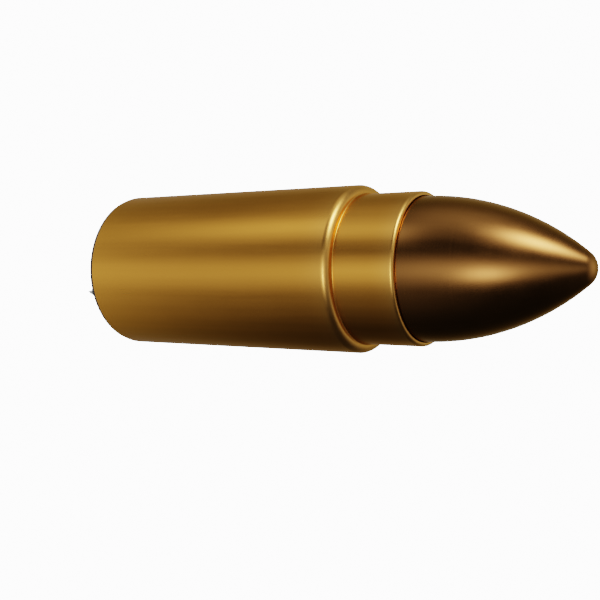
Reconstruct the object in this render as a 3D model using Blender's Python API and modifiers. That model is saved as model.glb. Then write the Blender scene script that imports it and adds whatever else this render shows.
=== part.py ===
"""Wall-mounted headphone hook: a brass-plated peg with a round body, a stepped neck and a screw-off nose.

The hook sticks straight out of a wall. The wall is the plane y = 0, the hook points along -Y and +Z is up.
Every piece is drawn as it would stand on a lathe: its own +Z is the distance out from the wall, and one empty
at the wall lays that axis down along -Y. Lengths are in metres, written as millimetres times MM.
"""

from math import asin, cos, degrees, pi, radians, sin

import bmesh
import bpy
from mathutils import Matrix, Vector

MM = 0.001
GAP = 0.3 * MM  # between pieces that touch
AROUND = 40  # sides of a large turned piece
AROUND_SMALL = 20  # sides of a screw, nut or washer

# Outside shape of the peg
BODY_R = 28.0 * MM
NECK_R = 24.95 * MM
SHOULDER_OUT = 100.6 * MM  # front face of the step from body to neck
SHOULDER_ROUND = 2.6 * MM
SHOULDER_FILLET = 0.4 * MM
MOUTH_OUT = 121.6 * MM  # open end of the neck
MOUTH_R = 23.65 * MM
TIP_R = 23.35 * MM
OGIVE_OUT = 122.0 * MM  # where the nose starts to curve in
OGIVE_R = 79.9 * MM
NOSE_R = 6.4 * MM

# Case wall and the ring that it stands on
CASE_WALL = 1.8 * MM
RING_THICK = 1.0 * MM
RING_OUT_R = BODY_R - 0.4 * MM
RING_IN_R = BODY_R - 4.0 * MM
CASE_IN_R = BODY_R - CASE_WALL

# Wall plate, its three wood screws and the rod that pulls the case on to the wall
PLATE_R = CASE_IN_R - GAP
PLATE_THICK = 6.0 * MM
BOSS_R = 9.0 * MM
BOSS_OUT = 12.0 * MM
BOSS_BLIND = 2.0 * MM  # plate left behind the rod's hole
SCREW_CIRCLE_R = 17.0 * MM
SCREW_TURNS = (90, 210, 330)  # degrees round the hook, seen from the front
SCREW_TOP = PLATE_THICK - 0.4 * MM
SCREW_HEAD_R = 4.2 * MM
SCREW_HEAD_EDGE = 0.3 * MM
SCREW_SHANK_R = 2.1 * MM
SCREW_LENGTH = 20.0 * MM
SCREW_POINT = 5.0 * MM
ROD_R = 4.0 * MM
ROD_OUT = 115.6 * MM
NUT_FLAT_R = 6.5 * MM  # half the width across flats
NUT_HIGH = 6.5 * MM
LOCK_NUT_HIGH = 4.0 * MM
BORE_GAP = 0.25 * MM  # round the rod, in the nuts and washers
ROD_WASHER_R = 9.0 * MM
ROD_WASHER_THICK = 1.6 * MM
ROD_SPRING_THICK = 2.0 * MM
SPRING_WASHER_WIDE = 2.4 * MM

# Threaded insert in the neck
INSERT_R = MOUTH_R - GAP
INSERT_FROM = 100.5 * MM
INSERT_TO = 114.5 * MM
WEB_THICK = 3.0 * MM
WEB_HOLE_R = 4.5 * MM

# Screw thread between the nose and the insert, which lets go after three turns
THREAD_PITCH = 2.5 * MM
THREAD_CORE_R = 18.9 * MM
THREAD_CREST_R = 20.05 * MM
THREAD_BASE = 1.6 * MM
THREAD_TOP = 0.6 * MM
THREAD_PLAY = 0.25 * MM  # radial
THREAD_SIDE_PLAY = 0.17 * MM  # along the axis, each side
THREAD_FROM = 107.2 * MM
THREAD_TURNS = 2.8
THREAD_ROOTED = 0.5 * MM  # how far the ridge sinks into its core
RELIEF_R = 20.6 * MM
RELIEF_TO = 106.0 * MM

# Nose: a hollow casting with a centre boss, and the threaded plug drawn up into it by one screw
TIP_FROM = 116.1 * MM
TIP_WALL = 2.6 * MM
TIP_SOCKET_R = 18.0 * MM
HOLLOW_FROM = 130.0 * MM
HOLLOW_TO = 161.0 * MM
TIP_BOSS_R = 6.0 * MM
TIP_BOSS_FROM = 128.3 * MM
TIP_SCREW_R = 2.5 * MM
TIP_HEAD_R = 4.6 * MM
TIP_HEAD_HIGH = 3.0 * MM
TIP_SPRING_THICK = 1.2 * MM
TIP_HOLE_R = 2.8 * MM
TIP_HOLE_TO = 150.0 * MM
TIP_SCREW_TO = 146.0 * MM
PLUG_FROM = 106.0 * MM
PLUG_TO = 128.0 * MM
PLUG_WEB = 4.0 * MM
PLUG_BORE_R = 14.5 * MM
PLUG_SPIGOT_R = TIP_SOCKET_R - GAP
SEAL_R = 0.9 * MM  # half the thickness of the rubber seal
SEAL_RING_R = 22.6 * MM
SEAL_OUT = 119.2 * MM
SEAL_GROOVE = 2.2 * MM
SEAL_GROOVE_R = 21.5 * MM
SLIP_WASHER_THICK = 1.0 * MM


def clear_scene():
    for obj in list(bpy.data.objects):
        bpy.data.objects.remove(obj, do_unlink=True)
    for old in list(bpy.data.collections):
        bpy.data.collections.remove(old)


def new_collection(name):
    made = bpy.data.collections.new(name)
    bpy.context.scene.collection.children.link(made)
    return made


def material(name, colour, roughness, metallic):
    made = bpy.data.materials.new(name)
    made.use_nodes = True
    shader = made.node_tree.nodes["Principled BSDF"]
    shader.inputs["Base Color"].default_value = (*colour, 1.0)
    shader.inputs["Roughness"].default_value = roughness
    shader.inputs["Metallic"].default_value = metallic
    made.diffuse_color = (*colour, 1.0)
    return made


def arc(centre_r, centre_z, radius, start, end, steps):
    """Points (r, z) round a centre, from one angle in degrees to another, with 0 pointing outwards."""
    angles = [radians(start + (end - start) * i / steps) for i in range(steps + 1)]
    return [(centre_r + radius * cos(a), centre_z + radius * sin(a)) for a in angles]


def new_object(name, mesh, look, parent, place=(0, 0, 0), hidden=False):
    obj = bpy.data.objects.new(name, mesh)
    obj.parent = parent
    obj.location = place
    if hidden:
        cutters.objects.link(obj)
        obj.hide_render = True
        obj.display_type = "WIRE"
    else:
        parts.objects.link(obj)
        mesh.materials.append(look)
    return obj


def turned(name, outline, look, parent, closed=True, around=AROUND, place=(0, 0, 0), hidden=False):
    """A piece of revolution. The outline is (r, z), down the outer side and back up the inner one.

    An outline that isn't closed starts and ends on the axis.
    """
    mesh = bpy.data.meshes.new(name)
    count = len(outline)
    edges = [(i, (i + 1) % count) for i in range(count if closed else count - 1)]
    mesh.from_pydata([(r, 0.0, z) for r, z in outline], edges, [])
    obj = new_object(name, mesh, look, parent, place, hidden)
    screw = obj.modifiers.new("Turn", "SCREW")
    screw.axis = "Z"
    screw.angle = 2 * pi
    screw.steps = around
    screw.render_steps = around
    screw.use_merge_vertices = True
    screw.merge_threshold = 0.00001
    screw.use_smooth_shade = True
    return obj


def turn_half_side(obj):
    """Keeps the flats of a threaded piece clear of the thread's own corners, so that they join cleanly."""
    obj.rotation_euler.z = pi / AROUND


def boolean(obj, other, operation):
    step = obj.modifiers.new(operation.title() + " " + other.name, "BOOLEAN")
    step.operation = operation
    step.solver = "EXACT"
    step.object = other


def helix(name, inner_r, outer_r, play, start, turns, parent):
    """The thread's tapered ridge wound round the axis, right-handed, with play on both sides, as a cutter."""
    shape = bmesh.new()
    half_inner = ridge_wide(inner_r) / 2 + play
    half_outer = ridge_wide(outer_r) / 2 + play
    corners = (
        (inner_r, half_inner),
        (outer_r, half_outer),
        (outer_r, -half_outer),
        (inner_r, -half_inner),
    )
    face = shape.faces.new([shape.verts.new((r, 0.0, start + z)) for r, z in corners])
    steps = round(AROUND * turns)
    bmesh.ops.spin(
        shape,
        geom=[face, *face.edges, *face.verts],
        cent=(0, 0, 0),
        axis=(0, 0, 1),
        dvec=(0, 0, THREAD_PITCH / AROUND),
        angle=2 * pi * steps / AROUND,
        steps=steps,
        use_merge=False,
        use_duplicate=False,
    )
    bmesh.ops.recalc_face_normals(shape, faces=shape.faces)
    return cutter_object(name, shape, parent)


def six_sided_bar(name, corner_r, low, high, parent):
    """A closed hexagonal cutter."""
    shape = bmesh.new()
    bmesh.ops.create_cone(
        shape,
        cap_ends=True,
        segments=6,
        radius1=corner_r,
        radius2=corner_r,
        depth=high - low,
        matrix=Matrix.Translation((0, 0, (low + high) / 2)),
    )
    return cutter_object(name, shape, parent)


def split_block(name, wide, along_r, along_z, parent):
    """A closed block across one side of a ring, which cuts the split of a spring washer."""
    shape = bmesh.new()
    middle = Vector((sum(along_r) / 2, 0, sum(along_z) / 2))
    size = Vector((along_r[1] - along_r[0], wide, along_z[1] - along_z[0]))
    placed = Matrix.Translation(middle) @ Matrix.Diagonal(size).to_4x4()
    bmesh.ops.create_cube(shape, size=1.0, matrix=placed)
    return cutter_object(name, shape, parent)


def cutter_object(name, shape, parent, place=(0, 0, 0)):
    mesh = bpy.data.meshes.new(name)
    shape.to_mesh(mesh)
    shape.free()
    return new_object(name, mesh, None, parent, place, hidden=True)


def cross_slot(name, face_z, parent, place=(0, 0, 0)):
    """The recess that a cross-head driver fits: one closed cutter with four arms, sunk from a face."""
    reach = 2.4 * MM
    half = 0.45 * MM
    low = face_z - 1.8 * MM
    high = face_z + 1.8 * MM
    shape = bmesh.new()
    corners = []
    for quarter in range(4):
        turn = Matrix.Rotation(quarter * pi / 2, 4, "Z")
        for x, y in ((half, half), (reach, half), (reach, -half)):
            corners.append(shape.verts.new(turn @ Vector((x, -y, low))))
    # Going round, each arm gives its inner corner and its two outer ones.
    face = shape.faces.new(order_round(corners))
    pushed = bmesh.ops.extrude_face_region(shape, geom=[face])
    top = [v for v in pushed["geom"] if isinstance(v, bmesh.types.BMVert)]
    bmesh.ops.translate(shape, verts=top, vec=(0, 0, high - low))
    bmesh.ops.recalc_face_normals(shape, faces=shape.faces)
    return cutter_object(name, shape, parent, place)


def order_round(corners):
    """The corners in order of their angle round the axis."""
    return sorted(corners, key=lambda v: Vector((1, 0)).angle_signed(v.co.xy, 0.0))


def ring_outline(inner_r, outer_r, low, high):
    """Section of a flat washer or ring."""
    return [(inner_r, high), (outer_r, high), (outer_r, low), (inner_r, low)]


def ridge_wide(r):
    """Width of the thread's ridge at this radius: it tapers from its core to its crest."""
    return THREAD_BASE - (THREAD_BASE - THREAD_TOP) * (r - THREAD_CORE_R) / (THREAD_CREST_R - THREAD_CORE_R)


def ogive_r(out):
    """Radius of the nose's curve at this distance from the wall."""
    return (TIP_R - OGIVE_R) + (OGIVE_R**2 - (out - OGIVE_OUT) ** 2) ** 0.5


def nose_centre():
    """Where the ball of the nose sits on the axis, so that the long curve runs into it smoothly."""
    return OGIVE_OUT + ((OGIVE_R - NOSE_R) ** 2 - (OGIVE_R - TIP_R) ** 2) ** 0.5


def make_case(look, parent):
    """The plated shell: body, rounded shoulder and thin neck, open at both ends."""
    shoulder = SHOULDER_OUT - SHOULDER_ROUND
    lip = NECK_R - MOUTH_R
    outside = [(MOUTH_R, MOUTH_OUT)]
    outside += arc(NECK_R - lip, MOUTH_OUT - lip, lip, 60, 0, 3)
    outside += arc(NECK_R + SHOULDER_FILLET, SHOULDER_OUT + SHOULDER_FILLET, SHOULDER_FILLET, 180, 270, 2)
    outside += arc(BODY_R - SHOULDER_ROUND, shoulder, SHOULDER_ROUND, 90, 0, 5)
    foot = RING_THICK + GAP
    outside += [(BODY_R, foot + GAP), (BODY_R - GAP, foot)]
    inside = [(CASE_IN_R, foot), (CASE_IN_R, shoulder - 1.5 * MM), (CASE_IN_R - 1.0 * MM, shoulder)]
    inside += [(MOUTH_R, shoulder + 1.2 * MM)]
    return turned("case_shell", outside + inside, look, parent)


def make_wall_ring(look, parent):
    """Black rubber ring that keeps the metal off the wall and grips it when the rod is tight."""
    return turned("wall_ring", ring_outline(RING_IN_R, RING_OUT_R, 0, RING_THICK), look, parent)


def make_wall_plate(look, parent):
    """Steel disc with a blind boss for the rod and three countersunk holes, stepped over the rubber ring."""
    step = RING_THICK + GAP
    outline = [
        (0, BOSS_BLIND),
        (ROD_R + BORE_GAP, BOSS_BLIND),
        (ROD_R + BORE_GAP, BOSS_OUT),
        (BOSS_R - 0.8 * MM, BOSS_OUT),
        (BOSS_R, BOSS_OUT - 0.8 * MM),
        (BOSS_R, PLATE_THICK + 0.8 * MM),
        (BOSS_R + 0.8 * MM, PLATE_THICK),
        (PLATE_R - 0.6 * MM, PLATE_THICK),
        (PLATE_R, PLATE_THICK - 0.6 * MM),
        (PLATE_R, step + GAP),
        (RING_IN_R - GAP, step),
        (RING_IN_R - GAP, 0),
        (0, 0),
    ]
    plate = turned("wall_plate", outline, look, parent, closed=False)
    cone_from = SCREW_TOP - SCREW_HEAD_EDGE
    wide = SCREW_HEAD_R + GAP
    narrow = SCREW_SHANK_R + GAP
    beyond = 1.0 * MM
    hole = [
        (0, PLATE_THICK + beyond),
        (wide, PLATE_THICK + beyond),
        (wide, cone_from),
        (narrow, cone_from - (wide - narrow)),
        (narrow, -beyond),
        (0, -beyond),
    ]
    for number, place in enumerate(screw_places(), 1):
        cutter = turned(f"hole_cutter_{number}", hole, None, parent, False, AROUND_SMALL, place, True)
        boolean(plate, cutter, "DIFFERENCE")
    return plate


def screw_places():
    angles = [radians(turn) for turn in SCREW_TURNS]
    return [(SCREW_CIRCLE_R * cos(a), SCREW_CIRCLE_R * sin(a), 0.0) for a in angles]


def make_wall_screws(look, parent):
    """Three countersunk wood screws, heads sunk in the plate and shanks in the wall."""
    cone_from = SCREW_TOP - SCREW_HEAD_EDGE
    outline = [
        (0, SCREW_TOP),
        (SCREW_HEAD_R, SCREW_TOP),
        (SCREW_HEAD_R, cone_from),
        (SCREW_SHANK_R, cone_from - (SCREW_HEAD_R - SCREW_SHANK_R)),
        (SCREW_SHANK_R, SCREW_TOP - SCREW_LENGTH + SCREW_POINT),
        (0, SCREW_TOP - SCREW_LENGTH),
    ]
    for number, place in enumerate(screw_places(), 1):
        screw = turned(f"wall_screw_{number}", outline, look, parent, False, AROUND_SMALL, place)
        slot = cross_slot(f"driver_cutter_{number}", SCREW_TOP, parent, place)
        boolean(screw, slot, "DIFFERENCE")


def make_tie_rod(look, parent):
    """Stud from the plate's boss to just inside the neck."""
    edge = 0.6 * MM
    low = BOSS_BLIND + GAP
    outline = [(0, ROD_OUT), (ROD_R - edge, ROD_OUT), (ROD_R, ROD_OUT - edge), (ROD_R, low + edge)]
    outline += [(ROD_R - edge, low), (0, low)]
    return turned("tie_rod", outline, look, parent, False, AROUND_SMALL)


def make_nut(name, low, high, look, parent):
    """Hexagon nut: a bored disc with chamfered faces, cut to six sides."""
    corner = NUT_FLAT_R / cos(pi / 6)
    chamfer = corner - NUT_FLAT_R
    bore = ROD_R + BORE_GAP
    outline = [
        (bore, high),
        (NUT_FLAT_R, high),
        (corner + 0.2 * MM, high - chamfer * 0.6),
        (corner + 0.2 * MM, low + chamfer * 0.6),
        (NUT_FLAT_R, low),
        (bore, low),
    ]
    nut = turned(name, outline, look, parent, around=AROUND_SMALL)
    six = six_sided_bar(name + "_cutter", corner, low - 1.0 * MM, high + 1.0 * MM, parent)
    boolean(nut, six, "INTERSECT")
    return nut


def make_spring_washer(name, outer_r, split, low, high, look, parent):
    inner_r = outer_r - SPRING_WASHER_WIDE
    washer = turned(name, ring_outline(inner_r, outer_r, low, high), look, parent, around=AROUND_SMALL)
    over = 1.0 * MM
    reach = (inner_r - over, outer_r + over)
    block = split_block(name + "_cutter", split, reach, (low - over, high + over), parent)
    boolean(washer, block, "DIFFERENCE")
    return washer


def make_clamp(steel, parent):
    """Washers and nut that bear on the insert's web, and the lock nut at the plate's boss."""
    bore = ROD_R + BORE_GAP
    at = INSERT_FROM + WEB_THICK + GAP
    washer = ring_outline(bore, ROD_WASHER_R, at, at + ROD_WASHER_THICK)
    turned("rod_washer", washer, steel, parent, around=AROUND_SMALL)
    at += ROD_WASHER_THICK + GAP
    make_spring_washer(
        "rod_spring_washer", bore + SPRING_WASHER_WIDE, 1.2 * MM, at, at + ROD_SPRING_THICK, steel, parent
    )
    at += ROD_SPRING_THICK + GAP
    make_nut("rod_nut", at, at + NUT_HIGH, steel, parent)
    at = BOSS_OUT + GAP
    make_nut("rod_lock_nut", at, at + LOCK_NUT_HIGH, steel, parent)


def make_insert(look, parent):
    """Cup soldered into the neck: a web that takes the rod's pull, and the nose's threaded socket."""
    web = INSERT_FROM + WEB_THICK
    crest = THREAD_CORE_R + THREAD_PLAY
    outline = [
        (crest + 0.6 * MM, INSERT_TO),
        (INSERT_R - 0.4 * MM, INSERT_TO),
        (INSERT_R, INSERT_TO - 0.4 * MM),
        (INSERT_R, INSERT_FROM + 0.4 * MM),
        (INSERT_R - 0.4 * MM, INSERT_FROM),
        (WEB_HOLE_R, INSERT_FROM),
        (WEB_HOLE_R, web),
        (RELIEF_R, web),
        (RELIEF_R, RELIEF_TO - 0.6 * MM),
        (crest, RELIEF_TO),
        (crest, INSERT_TO - 0.6 * MM),
    ]
    insert = turned("neck_insert", outline, look, parent)
    turn_half_side(insert)
    # The groove is the nose's ridge with play added, run on past both ends of the socket.
    start = THREAD_FROM - THREAD_PITCH
    turns = (INSERT_TO - start) / THREAD_PITCH + 0.5
    inner = crest - THREAD_ROOTED
    outer = THREAD_CREST_R + THREAD_PLAY
    groove = helix("groove_cutter", inner, outer, THREAD_SIDE_PLAY, start, turns, parent)
    boolean(insert, groove, "DIFFERENCE")
    return insert


def make_plug(look, parent, base):
    """Threaded plug: hollow round the rod's end, with a web that the tip screw pulls on."""
    def z(out):
        return out - base

    outline = [
        (TIP_HOLE_R, z(PLUG_TO)),
        (PLUG_SPIGOT_R - 0.6 * MM, z(PLUG_TO)),
        (PLUG_SPIGOT_R, z(PLUG_TO) - 0.6 * MM),
        (PLUG_SPIGOT_R, z(TIP_FROM - GAP)),
        (THREAD_CORE_R, z(TIP_FROM - GAP)),
        (THREAD_CORE_R, z(PLUG_FROM) + 0.5 * MM),
        (THREAD_CORE_R - 0.5 * MM, z(PLUG_FROM)),
        (PLUG_BORE_R, z(PLUG_FROM)),
        (PLUG_BORE_R, z(PLUG_TO - PLUG_WEB) - 1.0 * MM),
        (PLUG_BORE_R - 1.0 * MM, z(PLUG_TO - PLUG_WEB)),
        (TIP_HOLE_R, z(PLUG_TO - PLUG_WEB)),
    ]
    plug = turned("tip_plug", outline, look, parent)
    turn_half_side(plug)
    root = THREAD_CORE_R - THREAD_ROOTED
    ridge = helix("ridge_shape", root, THREAD_CREST_R, 0.0, z(THREAD_FROM), THREAD_TURNS, parent)
    boolean(plug, ridge, "UNION")
    return plug


def make_tip(look, parent, base):
    """Hollow cast nose: a straight skirt inside the neck, a long tangent curve and a ball end."""
    centre = nose_centre()
    join = degrees(asin((centre - OGIVE_OUT) / (OGIVE_R - NOSE_R)))  # where the long curve meets the ball
    ball = [(0, centre + NOSE_R)] + arc(0, centre, NOSE_R, 90, join, 5)[1:-1]
    long_curve = arc(TIP_R - OGIVE_R, OGIVE_OUT, OGIVE_R, join, 0, 10)
    half = SEAL_GROOVE / 2
    skirt = [
        (TIP_R, SEAL_OUT + half),
        (SEAL_GROOVE_R, SEAL_OUT + half),
        (SEAL_GROOVE_R, SEAL_OUT - half),
        (TIP_R, SEAL_OUT - half),
        (TIP_R, TIP_FROM + GAP),
        (TIP_R - GAP, TIP_FROM),
        (TIP_SOCKET_R, TIP_FROM),
        (TIP_SOCKET_R, PLUG_TO + GAP),
    ]
    steps = 5
    outs = [HOLLOW_FROM + (HOLLOW_TO - HOLLOW_FROM) * i / steps for i in range(steps + 1)]
    hollow = [(ogive_r(out) - TIP_WALL, out) for out in outs]
    boss = [
        (TIP_BOSS_R, HOLLOW_TO),
        (TIP_BOSS_R, TIP_BOSS_FROM),
        (TIP_HOLE_R, TIP_BOSS_FROM),
        (TIP_HOLE_R, TIP_HOLE_TO),
        (0, TIP_HOLE_TO + 1.6 * MM),
    ]
    outline = [(r, z - base) for r, z in ball + long_curve + skirt + hollow + boss]
    return turned("tip_shell", outline, look, parent, closed=False)


def make_tip_screw(steel, parent, base):
    """Pan-head screw and spring washer that hold the plug up in the nose."""
    seat = PLUG_TO - PLUG_WEB - GAP - base
    washer_r = TIP_HOLE_R + SPRING_WASHER_WIDE
    head_top = seat - TIP_SPRING_THICK
    make_spring_washer("tip_screw_washer", washer_r, 1.0 * MM, head_top, seat, steel, parent)
    head_top -= GAP
    head_low = head_top - TIP_HEAD_HIGH
    end = TIP_SCREW_TO - base
    outline = [
        (0, end),
        (TIP_SCREW_R - 0.5 * MM, end),
        (TIP_SCREW_R, end - 0.5 * MM),
        (TIP_SCREW_R, head_top),
        (TIP_HEAD_R, head_top),
        (TIP_HEAD_R, head_low + 1.0 * MM),
        (TIP_HEAD_R - 0.7 * MM, head_low + 0.3 * MM),
        (TIP_HEAD_R - 1.6 * MM, head_low),
        (0, head_low),
    ]
    screw = turned("tip_screw", outline, steel, parent, False, AROUND_SMALL)
    boolean(screw, cross_slot("tip_driver_cutter", head_low, parent), "DIFFERENCE")


def make_seals(rubber, nylon, parent, base):
    """Rubber ring in the nose's groove and slip washer under its skirt."""
    section = arc(SEAL_RING_R, SEAL_OUT - base, SEAL_R, 90, -270, 8)[:-1]
    turned("tip_seal_ring", section, rubber, parent)
    low = INSERT_TO + GAP - base
    washer = ring_outline(THREAD_CREST_R + GAP, TIP_R - 0.1 * MM, low, low + SLIP_WASHER_THICK)
    turned("tip_slip_washer", washer, nylon, parent)


def empty(name, parent, place, turn=(0, 0, 0)):
    made = bpy.data.objects.new(name, None)
    made.empty_display_size = 0.02
    made.parent = parent
    made.location = place
    made.rotation_euler = turn
    parts.objects.link(made)
    return made


clear_scene()
parts = new_collection("headphone_hook")
cutters = new_collection("cutters")

brass_body = material("brass_plated_case", (0.52, 0.27, 0.055), 0.28, 1.0)
brass_tip = material("brass_plated_tip", (0.50, 0.26, 0.06), 0.27, 1.0)
raw_brass = material("turned_brass", (0.60, 0.38, 0.13), 0.35, 1.0)
zinc_steel = material("zinc_plated_steel", (0.55, 0.56, 0.58), 0.4, 1.0)
black_rubber = material("black_rubber", (0.02, 0.02, 0.02), 0.8, 0.0)
white_nylon = material("natural_nylon", (0.75, 0.73, 0.66), 0.5, 0.0)

hook_axis = empty("hook_axis", None, (0, 0, 0), (pi / 2, 0, 0))
tip_axis = empty("tip_axis", hook_axis, (0, 0, MOUTH_OUT))

make_wall_ring(black_rubber, hook_axis)
make_wall_plate(zinc_steel, hook_axis)
make_wall_screws(zinc_steel, hook_axis)
make_tie_rod(zinc_steel, hook_axis)
make_case(brass_body, hook_axis)
make_insert(raw_brass, hook_axis)
make_clamp(zinc_steel, hook_axis)
make_plug(raw_brass, tip_axis, MOUTH_OUT)
make_tip(brass_tip, tip_axis, MOUTH_OUT)
make_tip_screw(zinc_steel, tip_axis, MOUTH_OUT)
make_seals(black_rubber, white_nylon, tip_axis, MOUTH_OUT)
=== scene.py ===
# Headphone hook: a brass-plated peg that stands straight out of a wall. The wall is the plane y = 0, the hook
# points along -Y and +Z is up. Sizes are in millimetres times MM, and "out" is the distance from the wall.
from math import acos, cos, pi, radians, sin, sqrt

import bmesh
import bpy
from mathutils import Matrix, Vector


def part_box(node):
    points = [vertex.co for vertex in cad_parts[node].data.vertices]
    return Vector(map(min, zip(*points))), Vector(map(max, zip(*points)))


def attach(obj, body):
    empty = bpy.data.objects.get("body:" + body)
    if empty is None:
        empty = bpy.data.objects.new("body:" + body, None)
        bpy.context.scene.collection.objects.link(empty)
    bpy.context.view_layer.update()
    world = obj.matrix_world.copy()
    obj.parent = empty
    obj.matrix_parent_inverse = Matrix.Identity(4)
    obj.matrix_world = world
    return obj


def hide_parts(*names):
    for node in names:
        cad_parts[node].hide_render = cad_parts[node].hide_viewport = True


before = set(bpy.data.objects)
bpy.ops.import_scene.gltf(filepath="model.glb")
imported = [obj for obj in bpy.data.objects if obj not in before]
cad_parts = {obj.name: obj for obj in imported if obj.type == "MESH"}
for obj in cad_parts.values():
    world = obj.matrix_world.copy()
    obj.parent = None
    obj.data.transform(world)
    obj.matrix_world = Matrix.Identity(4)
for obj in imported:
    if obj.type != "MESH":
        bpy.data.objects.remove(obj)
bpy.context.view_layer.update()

MM = 0.001


# ---- Camera ------------------------------------------------------------------------------------------------
# It stands level with the hook's axis, in front of the wall and well to the left, and looks past the nose.
camera_data = bpy.data.cameras.new("camera")
camera_data.sensor_width = 36.0
camera_data.lens = 53.74
camera_data.shift_x = -0.0445
camera_data.shift_y = -0.0439
camera_data.clip_start = 0.01
camera = bpy.data.objects.new("camera", camera_data)
camera.location = (-262.22 * MM, -241.67 * MM, -1.55 * MM)
camera.rotation_euler = Vector((-0.8568, -0.5157, 0)).to_track_quat("Z", "Y").to_euler()
bpy.context.scene.collection.objects.link(camera)
bpy.context.scene.camera = camera
bpy.context.scene.view_settings.view_transform = "Filmic"
bpy.context.scene.view_settings.look = "Medium High Contrast"


# ---- Studio ------------------------------------------------------------------------------------------------
# A plain pale floor well below the hook, and a room that is pale to look at. In reflections the room is dim,
# with a large soft light high in front, a low one and a strip to the left, and fainter ones round about.
class Wire:
    """A socket that takes part in sums: an operator adds a Math node, and node() adds any other kind."""

    def __init__(self, tree, socket=None):
        self.tree = tree
        self.socket = socket

    def node(self, kind, settings, inputs, output=0):
        made = self.tree.nodes.new("ShaderNode" + kind)
        for name, value in settings.items():
            setattr(made, name, value)
        for name, value in inputs.items():
            if isinstance(value, Wire):
                self.tree.links.new(value.socket, made.inputs[name])
            else:
                made.inputs[name].default_value = value
        return Wire(self.tree, made.outputs[output]) if len(made.outputs) else None

    def math(self, operation, *values, clamp=False):
        return self.node("Math", {"operation": operation, "use_clamp": clamp}, dict(enumerate(values)))

    def __add__(self, other):
        return self.math("ADD", self, other)

    def __sub__(self, other):
        return self.math("SUBTRACT", self, other)

    def __rsub__(self, other):
        return self.math("SUBTRACT", other, self)

    def __mul__(self, other):
        return self.math("MULTIPLY", self, other)

    def __truediv__(self, other):
        return self.math("DIVIDE", self, other)

    def __pow__(self, other):
        return self.math("POWER", self, other)

    __radd__ = __add__
    __rmul__ = __mul__

    def clamped(self):
        return self.math("ADD", self, 0.0, clamp=True)

    def blend(self, one, other):
        """One colour where this is 0 and the other where it is 1."""
        return self.node("Mix", {"data_type": "RGBA"}, {0: self, 6: one, 7: other}, 2)


world = bpy.data.worlds.new("room")
bpy.context.scene.world = world
world.use_nodes = True
world.node_tree.nodes.clear()
room = Wire(world.node_tree)
look_to = room.node("TexCoord", {}, {}, "Generated")


def soft_light(turn, rise, tight, bright):
    """A round glow in the room, so many degrees round from the front (left is negative) and so many up."""
    level = cos(radians(rise))
    towards = (level * sin(radians(turn)), -level * cos(radians(turn)), sin(radians(rise)))
    facing = room.node("VectorMath", {"operation": "DOT_PRODUCT"}, {0: look_to, 1: towards}, "Value")
    return room.math("MAXIMUM", facing, 0.0) ** tight * bright


strip_height = room.node("SeparateXYZ", {}, {0: look_to}, "Z") + 0.05
strip = (1.0 - strip_height * strip_height) ** 12  # a long low band, brightest at the left
glow = 0.02 + soft_light(-28, 56, 45, 12.0) + soft_light(-12, 48, 30, 2.2)  # key light and its spill
glow = glow + soft_light(-72, -10, 70, 5.0) + strip * soft_light(-85, 0, 2, 1.1)  # low side light
glow = glow + soft_light(-138, 46, 40, 1.2) + soft_light(-110, 84, 9, 0.6)  # ceiling
glow = glow + soft_light(180, 0, 8, 1.7) + soft_light(-120, -35, 8, 0.1)  # wall, and light off the floor
glow = glow + soft_light(25, 5, 7, 1.0) + soft_light(100, 10, 4, 0.45)  # fill from the right
dim = room.node("Background", {}, {"Color": (1, 1, 1, 1), "Strength": glow})
white_out = 8.0  # bright enough to look white behind the hook
pale = room.node("Background", {}, {"Color": (1, 1, 1, 1), "Strength": white_out})
seen = room.node("LightPath", {}, {}, "Is Camera Ray")
room.node("OutputWorld", {}, {"Surface": room.node("MixShader", {}, {0: seen, 1: dim, 2: pale})})


def material(name, **values):
    """A Principled material, its shader and its wires. Constants go on the shader's own sockets."""
    made = bpy.data.materials.new(name)
    made.use_nodes = True
    shader = made.node_tree.nodes["Principled BSDF"]
    for socket, value in values.items():
        shader.inputs[socket.replace("_", " ")].default_value = value
    return made, shader, Wire(made.node_tree)


def plug_in(shader, wires, height, **values):
    """Links a material's changing values, and its surface height in metres through one Bump node."""
    for socket, value in values.items():
        wires.tree.links.new(value.socket, shader.inputs[socket.replace("_", " ")])
    bump = wires.node("Bump", {}, {"Strength": 1.0, "Distance": 1.0, "Height": height}, "Normal")
    wires.tree.links.new(bump.socket, shader.inputs["Normal"])


def grain(wires, stretch, detail=3.0, rough=0.5):
    """Noise from 0 to 1 on the piece's own coordinates, with this many features to the metre on each axis."""
    place = wires.node("TexCoord", {}, {}, "Object")
    place = wires.node("Mapping", {}, {"Vector": place, "Scale": stretch})
    settings = {"Vector": place, "Scale": 1.0, "Detail": detail, "Roughness": rough}
    return wires.node("TexNoise", {}, settings, "Fac")


floor_paint, shader, wires = material("floor_paint", Roughness=0.9)
mottle = grain(wires, (6, 6, 6), 4)
plug_in(shader, wires, mottle * 0.0002, Base_Color=mottle.blend((0.78, 0.78, 0.77, 1), (0.84, 0.84, 0.83, 1)))
floor_mesh = bpy.data.meshes.new("floor")
floor_r = 1.2
floor_drop = 0.6
shape = bmesh.new()
bmesh.ops.create_circle(shape, cap_ends=True, segments=96, radius=floor_r)
bmesh.ops.translate(shape, verts=shape.verts, vec=(0, 0, -floor_drop))
shape.to_mesh(floor_mesh)
shape.free()
floor_mesh.materials.append(floor_paint)
floor = bpy.data.objects.new("floor", floor_mesh)
floor.visible_glossy = False
bpy.context.scene.collection.objects.link(floor)


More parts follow.
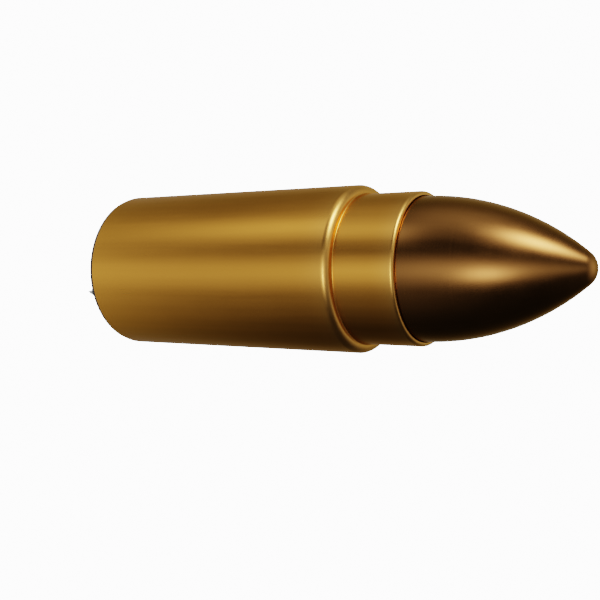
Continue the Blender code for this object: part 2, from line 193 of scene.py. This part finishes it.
# ---- Wall plate --------------------------------------------------------------------------------------------
# Zinc-plated steel disc, turned from bar with a central boss that is drilled for the stud. Three countersunk
# screws hold it to the wall, one at the top and two below.
def section(corners):
    """A closed wire beside the hook's axis. Corners are (radius, out), or with a rounding as a third."""
    shape = bmesh.new()
    points = [shape.verts.new((corner[0], -corner[1], 0)) for corner in corners]
    for one, other in zip(points, points[1:] + points[:1]):
        shape.edges.new((one, other))
    for point, corner in zip(points, corners):
        if len(corner) > 2:
            bmesh.ops.bevel(
                shape, geom=[point], offset=corner[2], offset_type="OFFSET", profile=0.5, affect="VERTICES",
                segments=4 + round(corner[2] / (0.2 * MM)), material=-1,
            )
    return shape


def turned(name, shape, around=128, place=(0, 0)):
    """The section spun round the hook's axis into a solid, then moved to its place across the wall."""
    bmesh.ops.spin(
        shape, geom=shape.verts[:] + shape.edges[:], cent=(0, 0, 0), axis=(0, 1, 0), angle=2 * pi,
        steps=around, use_merge=True, use_duplicate=False,
    )
    bmesh.ops.remove_doubles(shape, verts=shape.verts, dist=0.0002 * MM)
    bmesh.ops.recalc_face_normals(shape, faces=shape.faces)
    bmesh.ops.translate(shape, verts=shape.verts, vec=(place[0], 0, place[1]))
    return stored(name, shape)


def stored(name, shape):
    mesh = bpy.data.meshes.new(name)
    shape.to_mesh(mesh)
    shape.free()
    obj = bpy.data.objects.new(name, mesh)
    bpy.context.scene.collection.objects.link(obj)
    return smoothed(obj)


def smoothed(obj):
    """Smooth shading, with hard edges where the surface turns by more than this."""
    obj.data.shade_smooth()
    obj.data.set_sharp_from_angle(angle=radians(35))
    return obj


def cut(piece, tool, operation="DIFFERENCE"):
    """Cuts a tool's shape out of a piece, or joins it on, and throws the tool away."""
    step = piece.modifiers.new("cut", "BOOLEAN")
    step.operation = operation
    step.solver = "EXACT"
    step.object = tool
    bpy.context.view_layer.update()
    made = piece.evaluated_get(bpy.context.evaluated_depsgraph_get())
    piece.data = bpy.data.meshes.new_from_object(made)
    piece.data.name = piece.name
    piece.modifiers.clear()
    bpy.data.objects.remove(tool)
    return smoothed(piece)


def fitted(piece, look, body, slot, *nodes):
    """Gives a finished piece its material, its body and the nodes that it stands for."""
    piece.data.materials.clear()
    piece.data.materials.append(look)
    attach(piece, body)
    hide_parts(*nodes)


plate_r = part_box("wall_plate")[1].x
plate_thick = 6.0 * MM
boss_r = 9.0 * MM
boss_out = 12.0 * MM
spigot_face_r = 23.7 * MM  # the part that fits inside the rubber ring
spigot_deep = 1.3 * MM
stud_bore_r = 4.25 * MM
stud_bore_foot = 2.0 * MM
sink_r = 4.5 * MM
shank_hole_r = 2.4 * MM
screw_circle_r = 17.0 * MM
screw_turns = [radians(turn) for turn in (90, 210, 330)]
screw_spots = [(screw_circle_r * cos(turn), screw_circle_r * sin(turn)) for turn in screw_turns]
plate = turned("wall_plate_disc", section([
    (0, 0),
    (spigot_face_r, 0, 0.2 * MM),
    (spigot_face_r, spigot_deep),
    (plate_r, spigot_deep, 0.3 * MM),
    (plate_r, plate_thick, 0.6 * MM),
    (boss_r, plate_thick, 0.8 * MM),
    (boss_r, boss_out, 0.8 * MM),
    (stud_bore_r, boss_out, 0.3 * MM),
    (stud_bore_r, stud_bore_foot),
    (0, stud_bore_foot),
]))
for spot in screw_spots:
    drill = section([
        (0, 7 * MM),
        (sink_r, 7 * MM),
        (sink_r, 5.3 * MM),
        (shank_hole_r, 3.2 * MM),
        (shank_hole_r, -1 * MM),
        (0, -1 * MM),
    ])
    cut(plate, turned("drill", drill, 48, spot))

zinc, shader, wires = material("zinc_plating", Metallic=1.0)
cloud = grain(wires, (110, 110, 110), 4, 0.6)
scuff = grain(wires, (900, 160, 900), 3, 0.6)
plug_in(
    shader, wires, scuff * (0.003 * MM) + cloud * (0.01 * MM),
    Base_Color=cloud.blend((0.44, 0.46, 0.50, 1), (0.66, 0.65, 0.60, 1)),
    Roughness=cloud * 0.22 + scuff * 0.16 + 0.18,
)
fitted(plate, zinc, "case", "zinc_steel", "wall_plate")


# ---- Wall screws -------------------------------------------------------------------------------------------
# Zinc-plated wood screws, 20 mm long, with a countersunk head that takes a cross driver. The thread is rolled
# on, so it stands proud of a thinner core, and it runs down to a gimlet point.
def wound(name, corners, pitch, turns, around=48, place=(0, 0), point=None):
    """A closed section of corners (radius, out) wound right-handed round the axis, rising a pitch a turn.

    Below the point's start the ridge draws in to nothing at the point's end.
    """
    shape = bmesh.new()
    ring = [shape.verts.new((r, -out, 0)) for r, out in corners]
    face = shape.faces.new(ring)
    steps = round(around * turns)
    bmesh.ops.spin(
        shape, geom=[face, *face.edges, *face.verts], cent=(0, 0, 0), axis=(0, -1, 0),
        dvec=(0, -pitch / around, 0), angle=2 * pi * steps / around, steps=steps,
        use_merge=False, use_duplicate=False,
    )
    bmesh.ops.recalc_face_normals(shape, faces=shape.faces)
    if point:
        start, end = point
        for v in shape.verts:
            draw_in = min(1.0, max(0.04, (-v.co.y - end) / (start - end)))
            v.co.x *= draw_in
            v.co.z *= draw_in
    bmesh.ops.translate(shape, verts=shape.verts, vec=(place[0], 0, place[1]))
    return stored(name, shape)


def ridge(root_r, crest_r, base, top, start):
    """The four corners of a thread's section, which is this wide at its root and at its crest."""
    return [
        (root_r, start - base / 2),
        (crest_r, start - top / 2),
        (crest_r, start + top / 2),
        (root_r, start + base / 2),
    ]


def block(name, size, middle):
    shape = bmesh.new()
    bmesh.ops.create_cube(shape, size=1.0)
    bmesh.ops.scale(shape, verts=shape.verts, vec=size)
    bmesh.ops.translate(shape, verts=shape.verts, vec=middle)
    return stored(name, shape)


def cross_cut(piece, face_out, place=(0, 0)):
    """Sinks the cross that a driver fits, from the head's face."""
    long, short, deep = 4.8 * MM, 0.9 * MM, 3.6 * MM
    for size in ((long, deep, short), (short, deep, long)):
        cut(piece, block("punch", size, (place[0], -face_out, place[1])))


screw_top = 5.6 * MM
screw_end = -14.4 * MM
point_start = -9.4 * MM
screw_head_r = 4.2 * MM
core_r = 1.45 * MM
wood_pitch = 1.8 * MM
for number, spot in enumerate(screw_spots, 1):
    screw = turned(f"wall_screw_{number}_threaded", section([
        (0, screw_top),
        (screw_head_r, screw_top, 0.12 * MM),
        (screw_head_r, screw_top - 0.3 * MM),
        (2.1 * MM, 3.2 * MM, 0.3 * MM),
        (2.0 * MM, 0.6 * MM, 0.2 * MM),
        (core_r, 0.1 * MM, 0.2 * MM),
        (core_r, point_start, 0.4 * MM),
        (0, screw_end),
    ]), 48, spot)
    start = screw_end + 0.6 * MM
    turns = (0.4 * MM - start) / wood_pitch
    spiral = ridge(1.2 * MM, 2.08 * MM, 0.9 * MM, 0.12 * MM, start)
    cut(screw, wound("spiral", spiral, wood_pitch, turns, 36, spot, (point_start, screw_end)), "UNION")
    cross_cut(screw, screw_top, spot)
    fitted(screw, zinc, "case", "zinc_steel", f"wall_screw_{number}")


# ---- Stud --------------------------------------------------------------------------------------------------
# Zinc-plated M8 stud from the plate's boss to just inside the neck, threaded at both ends. The lock nut at
# its foot keeps it from turning.
rod_r = 4.0 * MM
thread_r = 3.35 * MM
rod_foot = 2.3 * MM
rod_end = 115.6 * MM
fine_pitch = 1.25 * MM
rod = turned("stud", section([
    (0, rod_foot),
    (thread_r, rod_foot, 0.5 * MM),
    (thread_r, 19 * MM),
    (rod_r, 19.6 * MM),
    (rod_r, 97 * MM),
    (thread_r, 97.6 * MM),
    (thread_r, rod_end, 0.5 * MM),
    (0, rod_end),
]), 48)
for low, high in ((3.2 * MM, 18.6 * MM), (98 * MM, 114.8 * MM)):
    turns = (high - low) / fine_pitch
    spiral = ridge(3.1 * MM, 3.97 * MM, 1.14 * MM, 0.16 * MM, low)
    cut(rod, wound("spiral", spiral, fine_pitch, turns, 36), "UNION")
fitted(rod, zinc, "case", "zinc_steel", "tie_rod")


def nut(name, low, high):
    """A hexagon nut, 13 mm across its flats: a chamfered disc cut to six sides, then tapped."""
    half_flats = 6.5 * MM
    corner = half_flats / cos(pi / 6)
    bore = 4.2 * MM
    chamfer = 0.6 * MM
    made = turned(name, section([
        (bore, low + 0.4 * MM),
        (bore + 0.4 * MM, low),
        (half_flats - 0.2 * MM, low),
        (corner + 0.2 * MM, low + chamfer),
        (corner + 0.2 * MM, high - chamfer),
        (half_flats - 0.2 * MM, high),
        (bore + 0.4 * MM, high),
        (bore, high - 0.4 * MM),
    ]), 96)
    shape = bmesh.new()
    bmesh.ops.create_cone(shape, cap_ends=True, segments=6, radius1=corner, radius2=corner, depth=30 * MM)
    laid_along = Vector((0, 1, 0)).to_track_quat("Z", "Y").to_matrix()
    bmesh.ops.rotate(shape, verts=shape.verts, cent=(0, 0, 0), matrix=laid_along)
    bmesh.ops.translate(shape, verts=shape.verts, vec=(0, -(low + high) / 2, 0))
    cut(made, stored("six_sides", shape), "INTERSECT")
    groove = ridge(4.0 * MM, 4.5 * MM, 1.1 * MM, 0.2 * MM, low - fine_pitch)
    return cut(made, wound("tap", groove, fine_pitch, (high - low) / fine_pitch + 2, 36))


fitted(nut("stud_lock_nut", 12.3 * MM, 16.3 * MM), zinc, "case", "zinc_steel", "rod_lock_nut")


# ---- Wall ring ---------------------------------------------------------------------------------------------
# Black rubber ring, moulded, that keeps the metal off the wall and grips it when the stud's nut is tight.
ring_out_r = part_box("wall_ring")[1].x
ring_in_r = ring_out_r - 3.6 * MM
ring_thick = 1.0 * MM
ring = turned("wall_ring_moulded", section([
    (ring_in_r, 0.0, 0.2 * MM),
    (ring_out_r, 0.0, 0.2 * MM),
    (ring_out_r, ring_thick, 0.3 * MM),
    (ring_in_r, ring_thick, 0.3 * MM),
]), 160)
rubber, shader, wires = material("black_rubber", Metallic=0.0)
bloom = grain(wires, (70, 70, 70), 4, 0.6)
speck = grain(wires, (1600, 1600, 1600), 2)
plug_in(
    shader, wires, speck * (0.03 * MM),
    Base_Color=bloom.blend((0.012, 0.012, 0.012, 1), (0.045, 0.043, 0.042, 1)),
    Roughness=bloom * 0.25 + speck * 0.1 + 0.5,
)
fitted(ring, rubber, "case", "black_rubber", "wall_ring")


# ---- Case --------------------------------------------------------------------------------------------------
# Tube drawn from sheet brass, with a rounded shoulder down to a short neck and a lip rolled over at the
# mouth. It is plated and brushed along its length, stands on the rubber ring and is pulled to the wall by the
# stud. Its colour is painted paler just before the shoulder and the lip, a painted sheen, and paler again on
# the shoulder and the lip, which is partly edge wear and partly a painted highlight.
body_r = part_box("case_shell")[1].x
mouth_out = -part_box("case_shell")[0].y
foot_out = -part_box("case_shell")[1].y
neck_r = 24.95 * MM
mouth_r = 23.65 * MM
shoulder_out = 100.6 * MM
shoulder_round = 2.6 * MM
fillet = 0.4 * MM
wall = 1.8 * MM
lip = neck_r - mouth_r
case = turned("case", section([
    (mouth_r, mouth_out - 0.1 * MM),
    (neck_r, mouth_out, lip * 0.98),
    (neck_r, shoulder_out, fillet),
    (body_r, shoulder_out, shoulder_round),
    (body_r, foot_out, 0.3 * MM),
    (body_r - wall, foot_out),
    (body_r - wall, 96.5 * MM, 0.8 * MM),
    (mouth_r, 99.2 * MM, 0.8 * MM),
]), 256)

plating, shader, wires = material("satin_brass_plating", Metallic=1.0, Specular_Tint=(1.0, 0.86, 0.55, 1))
out = 0.0 - wires.node("SeparateXYZ", {}, {0: wires.node("TexCoord", {}, {}, "Object")}, "Y")


def along(start, length):
    """How far out a point is between two rings, from 0 to 1."""
    return ((out - start) / length).clamped()


streak = grain(wires, (330, 9, 330), 4, 0.55)
fine = grain(wires, (1700, 45, 1700), 2, 0.5)
cloud = grain(wires, (38, 38, 38), 4, 0.6)
# Painted sheen: a paler colour over the last stretch before the shoulder and before the lip, standing in for
# light.
painted_sheen = along(87 * MM, 12 * MM) * (1.0 - along(99 * MM, 2 * MM)) + along(112 * MM, 8 * MM)
# Edge wear on the shoulder and the lip, made lighter so that it is also a painted highlight there.
edge_wear_and_painted_highlight = along(98.2 * MM, 1.2 * MM) * (1.0 - along(100.2 * MM, 0.8 * MM)) + along(119.8 * MM, 1.2 * MM)
colour = (streak * 0.7 + cloud * 0.3).blend((0.67, 0.302, 0.052, 1), (0.82, 0.378, 0.074, 1))
# The painted sheen's paler colour.
colour = (painted_sheen * painted_sheen * 0.5).clamped().blend(colour, (0.90, 0.47, 0.12, 1))
plug_in(
    shader, wires, streak * (0.006 * MM) + fine * (0.0012 * MM),
    # The lighter colour of the edge wear and painted highlight on the shoulder and the lip.
    Base_Color=(edge_wear_and_painted_highlight * cloud * 0.9).clamped().blend(colour, (0.92, 0.50, 0.15, 1)),
    Roughness=streak * 0.10 + fine * 0.06 + cloud * 0.06 + 0.19,
)
fitted(case, plating, "case", "satin_brass", "case_shell")


# ---- Neck insert -------------------------------------------------------------------------------------------
# Cup turned from solid brass and soldered into the neck. Its web takes the pull of the stud, and the socket
# in front of the web is threaded for the nose.
insert_r = 23.35 * MM
insert_low = 100.5 * MM
insert_high = 114.5 * MM
core_r = 18.9 * MM
crest_r = 20.05 * MM
nose_pitch = 2.5 * MM
thread_low = 107.2 * MM
play = 0.25 * MM
side_play = 0.17 * MM
tapped_r = core_r + play
web_hole_r = 4.5 * MM
web_out = 103.5 * MM
relief_r = 20.6 * MM
insert = turned("neck_insert_turned", section([
    (web_hole_r, insert_low),
    (insert_r, insert_low, 0.4 * MM),
    (insert_r, insert_high, 0.4 * MM),
    (tapped_r + 0.6 * MM, insert_high),
    (tapped_r, insert_high - 0.6 * MM),
    (tapped_r, 106.0 * MM),
    (relief_r, 105.4 * MM),
    (relief_r, web_out),
    (web_hole_r, web_out),
]), 120)
groove_low = thread_low - nose_pitch
groove = ridge(
    tapped_r - 0.5 * MM, crest_r + play, 1.9 * MM + 2 * side_play, 0.6 * MM + 2 * side_play, groove_low,
)
cut(insert, wound("tap", groove, nose_pitch, (insert_high - groove_low) / nose_pitch + 0.5, 72))

turned_brass, shader, wires = material("turned_brass", Metallic=1.0)
rings = grain(wires, (12, 2600, 12), 3, 0.6)
cloud = grain(wires, (90, 90, 90), 3, 0.6)
plug_in(
    shader, wires, rings * (0.004 * MM),
    Base_Color=(rings * 0.5 + cloud * 0.5).blend((0.62, 0.36, 0.10, 1), (0.86, 0.57, 0.22, 1)),
    Roughness=rings * 0.2 + cloud * 0.12 + 0.14,
)
fitted(insert, turned_brass, "case", "turned_brass", "neck_insert")


# ---- Stud washer, spring washer and nut --------------------------------------------------------------------
# Zinc-plated washer and nut with a dark split spring washer between them. They bear on the insert's web and
# are tightened with a socket through the open neck, before the nose goes on.
washer_r = 9.0 * MM
washer_low = 103.8 * MM
washer_high = 105.4 * MM
washer = turned("stud_washer", section([
    (stud_bore_r, washer_low, 0.1 * MM),
    (washer_r, washer_low, 0.2 * MM),
    (washer_r, washer_high, 0.3 * MM),
    (stud_bore_r, washer_high, 0.1 * MM),
]), 96)
fitted(washer, zinc, "case", "zinc_steel", "rod_washer")
fitted(nut("stud_nut", 108.0 * MM, 114.5 * MM), zinc, "case", "zinc_steel", "rod_nut")

spring_steel, shader, wires = material("spring_steel", Metallic=1.0)
scale = grain(wires, (260, 260, 260), 4, 0.65)
ground = grain(wires, (2200, 300, 2200), 2)
plug_in(
    shader, wires, scale * (0.008 * MM),
    Base_Color=scale.blend((0.09, 0.09, 0.10, 1), (0.30, 0.29, 0.28, 1)),
    Roughness=scale * 0.3 + ground * 0.15 + 0.18,
)


def spring_washer(name, inner_r, wide, low, high, split, body, node):
    """A ring of square wire with its ends a little apart, flattened until one is just above the other."""
    around = 96
    rise = 0.1 * (high - low)
    corners = [(inner_r, low), (inner_r + wide, low), (inner_r + wide, high - rise), (inner_r, high - rise)]
    made = wound(name, corners, rise, 1 - split / (2 * pi * inner_r), around)
    fitted(made, spring_steel, body, "spring_steel", node)


spring_washer(
    "stud_spring_washer", stud_bore_r, 2.4 * MM, 105.7 * MM, 107.7 * MM, 1.2 * MM,
    "case", "rod_spring_washer",
)


# ---- Nose --------------------------------------------------------------------------------------------------
# Hollow casting, turned and polished, then plated in a darker gold-bronze. Its long curve runs tangent from a
# straight skirt into a ball end. A groove round the skirt holds a rubber seal.
tip_r = 23.35 * MM
curve_out = 122.0 * MM
curve_r = 79.9 * MM
ball_r = 6.4 * MM
ball_out = curve_out + sqrt((curve_r - ball_r) ** 2 - (curve_r - tip_r) ** 2)
meet = acos((curve_r - tip_r) / (curve_r - ball_r))


def swing(shape, start, centre, angle, steps):
    """Draws an arc from a corner of the section, and gives back the arc's far end."""
    made = bmesh.ops.spin(
        shape, geom=[start], cent=(centre[0], -centre[1], 0), axis=(0, 0, -1), angle=angle, steps=steps,
        use_merge=False, use_duplicate=False,
    )
    return next(v for v in made["geom_last"] if isinstance(v, bmesh.types.BMVert))


def carried_on(shape, last, corners):
    """Draws straight lines on through these corners of the section, and gives back the last one."""
    for r, at in corners:
        point = shape.verts.new((r, -at, 0))
        shape.edges.new((last, point))
        last = point
    return last


nose_wall = 2.6 * MM
groove_r = 21.5 * MM
groove_low = 118.1 * MM
groove_high = 120.3 * MM
skirt_low = 116.1 * MM
socket_r = 18.0 * MM
nose_boss_r = 6.0 * MM
boss_face = 128.3 * MM
screw_hole_r = 2.8 * MM
hollow_from = 130.0 * MM
hollow_to = 161.0 * MM
hollow_steps = 12


def hollow_corner(step):
    """A corner of the inner wall, which follows the long curve."""
    at = hollow_from + (hollow_to - hollow_from) * step / hollow_steps
    return tip_r - curve_r + sqrt(curve_r ** 2 - (at - curve_out) ** 2) - nose_wall, at


shape = bmesh.new()
skirt = shape.verts.new((tip_r, -curve_out, 0))
join = swing(shape, skirt, (tip_r - curve_r, curve_out), meet, 72)
swing(shape, join, (0, ball_out), pi / 2 - meet, 18)
last = carried_on(shape, skirt, [
    (tip_r, groove_high + 0.1 * MM),
    (tip_r - 0.1 * MM, groove_high),
    (groove_r, groove_high),
    (groove_r, groove_low),
    (tip_r - 0.1 * MM, groove_low),
    (tip_r, groove_low - 0.1 * MM),
    (tip_r, skirt_low + 0.3 * MM),
    (tip_r - 0.3 * MM, skirt_low),
    (socket_r + 0.2 * MM, skirt_low),
    (socket_r, skirt_low + 0.2 * MM),
    (socket_r, boss_face),
])
last = carried_on(shape, last, [hollow_corner(step) for step in range(hollow_steps + 1)])
carried_on(shape, last, [
    (nose_boss_r, hollow_to),
    (nose_boss_r, boss_face + 0.3 * MM),
    (nose_boss_r - 0.3 * MM, boss_face),
    (screw_hole_r + 0.3 * MM, boss_face),
    (screw_hole_r, boss_face + 0.3 * MM),
    (screw_hole_r, 150.0 * MM),
    (0, 151.6 * MM),
])
nose = turned("nose", shape, 256)

bronze, shader, wires = material("bronze_gold_plating", Metallic=1.0, Specular_Tint=(1.0, 0.80, 0.50, 1))
cloud = grain(wires, (55, 55, 55), 4, 0.6)
streak = grain(wires, (420, 14, 420), 3, 0.55)
rings = grain(wires, (6, 1500, 6), 2, 0.6)
plug_in(
    shader, wires, rings * (0.0006 * MM) + streak * (0.0015 * MM),
    Base_Color=(cloud * 0.5 + streak * 0.5).blend((0.235, 0.104, 0.030, 1), (0.315, 0.150, 0.048, 1)),
    Roughness=streak * 0.07 + rings * 0.05 + cloud * 0.06 + 0.16,
)
fitted(nose, bronze, "tip", "burnished_brass", "tip_shell")


# ---- Threaded plug -----------------------------------------------------------------------------------------
# Brass plug, turned and threaded, that screws the nose into the neck: three turns let it go. Its spigot sits
# in the nose's socket, and it is bored out to clear the stud's end.
spigot_r = 17.7 * MM
bore_r = 14.5 * MM
plug_low = 106.0 * MM
plug_high = 128.0 * MM
spigot_low = 115.8 * MM
plug_web_low = 124.0 * MM
thread_turns = 2.8
plug = turned("threaded_plug", section([
    (screw_hole_r, plug_web_low),
    (bore_r, plug_web_low, 1.0 * MM),
    (bore_r, plug_low),
    (core_r, plug_low, 0.5 * MM),
    (core_r, spigot_low, 0.15 * MM),
    (spigot_r, spigot_low),
    (spigot_r, plug_high, 0.6 * MM),
    (screw_hole_r, plug_high, 0.1 * MM),
]), 120)
spiral = ridge(core_r - 0.5 * MM, crest_r, 1.9 * MM, 0.6 * MM, thread_low)
cut(plug, wound("spiral", spiral, nose_pitch, thread_turns, 72), "UNION")
fitted(plug, turned_brass, "tip", "turned_brass", "tip_plug")


# ---- Nose screw and its washer -----------------------------------------------------------------------------
# Zinc-plated M5 pan-head screw with a split spring washer. It passes through the plug's web and draws the
# plug up into the nose from behind, so nothing shows from outside.
head_face = 119.2 * MM
under_head = 122.2 * MM
nose_screw_end = 146.0 * MM
pan_head_r = 4.6 * MM
shank_r = 2.5 * MM
shank_core_r = 2.05 * MM
nose_screw = turned("nose_screw", section([
    (0, head_face),
    (pan_head_r, head_face, 1.2 * MM),
    (pan_head_r, under_head, 0.1 * MM),
    (shank_r, under_head),
    (shank_r, 128.0 * MM),
    (shank_core_r, 128.4 * MM),
    (shank_core_r, nose_screw_end, 0.4 * MM),
    (0, nose_screw_end),
]), 48)
screw_pitch = 0.8 * MM
spiral = ridge(1.85 * MM, 2.47 * MM, 0.72 * MM, 0.1 * MM, 128.8 * MM)
cut(nose_screw, wound("spiral", spiral, screw_pitch, 16.4 * MM / screw_pitch, 24), "UNION")
cross_cut(nose_screw, head_face)
fitted(nose_screw, zinc, "tip", "zinc_steel", "tip_screw")
spring_washer(
    "nose_screw_washer", screw_hole_r, 2.4 * MM, 122.5 * MM, 123.7 * MM, 1.0 * MM,
    "tip", "tip_screw_washer",
)


# ---- Seal ring and slip washer -----------------------------------------------------------------------------
# Rubber ring in the skirt's groove, which centres the nose in the neck and stops it rattling, and a nylon
# washer under the skirt that lets the nose turn on the insert without galling.
seal_wire_r = 0.9 * MM
seal_r = 22.6 * MM
seal_out = 119.2 * MM
shape = bmesh.new()
bmesh.ops.create_circle(shape, cap_ends=False, segments=24, radius=seal_wire_r)
bmesh.ops.translate(shape, verts=shape.verts, vec=(seal_r, -seal_out, 0))
seal = turned("seal_ring", shape, 160)
fitted(seal, rubber, "tip_seals", "black_rubber", "tip_seal_ring")

slip_in_r = 20.35 * MM
slip_out_r = 23.25 * MM
slip_low = 114.8 * MM
slip_high = 115.8 * MM
slip = turned("slip_washer", section([
    (slip_in_r, slip_low, 0.1 * MM),
    (slip_out_r, slip_low, 0.15 * MM),
    (slip_out_r, slip_high, 0.15 * MM),
    (slip_in_r, slip_high, 0.1 * MM),
]), 160)
nylon, shader, wires = material("natural_nylon", Metallic=0.0, Subsurface_Weight=0.15, Subsurface_Scale=0.002)
cloud = grain(wires, (120, 120, 120), 3)
swirl = grain(wires, (900, 900, 900), 2)
plug_in(
    shader, wires, swirl * (0.01 * MM),
    Base_Color=cloud.blend((0.70, 0.66, 0.55, 1), (0.82, 0.80, 0.72, 1)),
    Roughness=cloud * 0.2 + swirl * 0.1 + 0.3,
)
fitted(slip, nylon, "tip_seals", "nylon", "tip_slip_washer")
